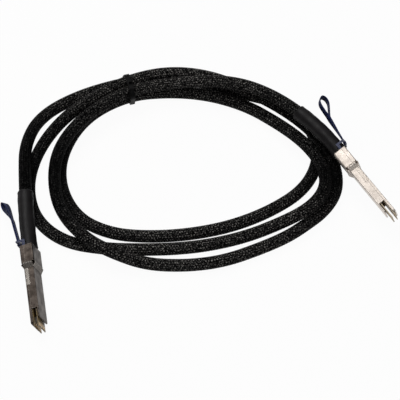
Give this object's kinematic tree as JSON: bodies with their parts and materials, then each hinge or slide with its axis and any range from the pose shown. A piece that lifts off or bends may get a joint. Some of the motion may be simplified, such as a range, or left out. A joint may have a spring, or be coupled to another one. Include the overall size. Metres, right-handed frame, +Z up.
{
  "type": "direct attach copper cable",
  "caption": "Passive copper cable in a black braided sleeve, hand-coiled and tied, with a die-cast two-card plug and a blue strap pull tab at each end.",
  "frame": {"origin": "on the plane that the coil lies on, under the middle of the box that holds both plugs with their sleeves and pull tabs", "axes": "+X along the coil's long side, from the left plug to the right plug; +Z up, off the plane"},
  "size_m": [0.3994, 0.3159, 0.0515],
  "materials": {
    "braid": "satin",
    "tie": "satin",
    "die_cast": "satin",
    "steel": "satin",
    "card": "satin",
    "spacer": "matte",
    "wire": "satin",
    "ferrule": "satin",
    "collar": "satin",
    "tab": "matte",
    "shrink": "satin"
  },
  "bodies": {
    "cable_and_plugs": {"braided_cable": "braid", "cable_tie": "tie", "left_upper_shell": "die_cast", "left_lower_shell": "die_cast", "left_shell_screws": "steel", "left_upper_paddle_card": "card", "left_lower_paddle_card": "card", "left_card_spacer": "spacer", "left_twinax_pairs": "wire", "left_crimp_ferrule": "ferrule", "left_emi_gasket": "collar", "left_latch_springs": "steel", "left_heat_shrink": "shrink", "right_upper_shell": "die_cast", "right_lower_shell": "die_cast", "right_shell_screws": "steel", "right_upper_paddle_card": "card", "right_lower_paddle_card": "card", "right_card_spacer": "spacer", "right_twinax_pairs": "wire", "right_crimp_ferrule": "ferrule", "right_emi_gasket": "collar", "right_latch_springs": "steel", "right_heat_shrink": "shrink"},
    "left_latch": {"left_latch_slide": "steel", "left_pull_tab": "tab"},
    "right_latch": {"right_latch_slide": "steel", "right_pull_tab": "tab"}
  },
  "joints": [
    {"name": "left_latch_pull", "type": "slide", "parent": "cable_and_plugs", "child": "left_latch", "axis": [-0.1562, 0.9863, 0.0523], "range_m": [0, 0.0022], "stiffness_N_per_m": 1500, "springref_m": -0.0015, "deforming": ["left_latch_springs"]},
    {"name": "right_latch_pull", "type": "slide", "parent": "cable_and_plugs", "child": "right_latch", "axis": [-0.5775, 0.8097, 0.1045], "range_m": [0, 0.0022], "stiffness_N_per_m": 1500, "springref_m": -0.0015, "deforming": ["right_latch_springs"]}
  ]
}
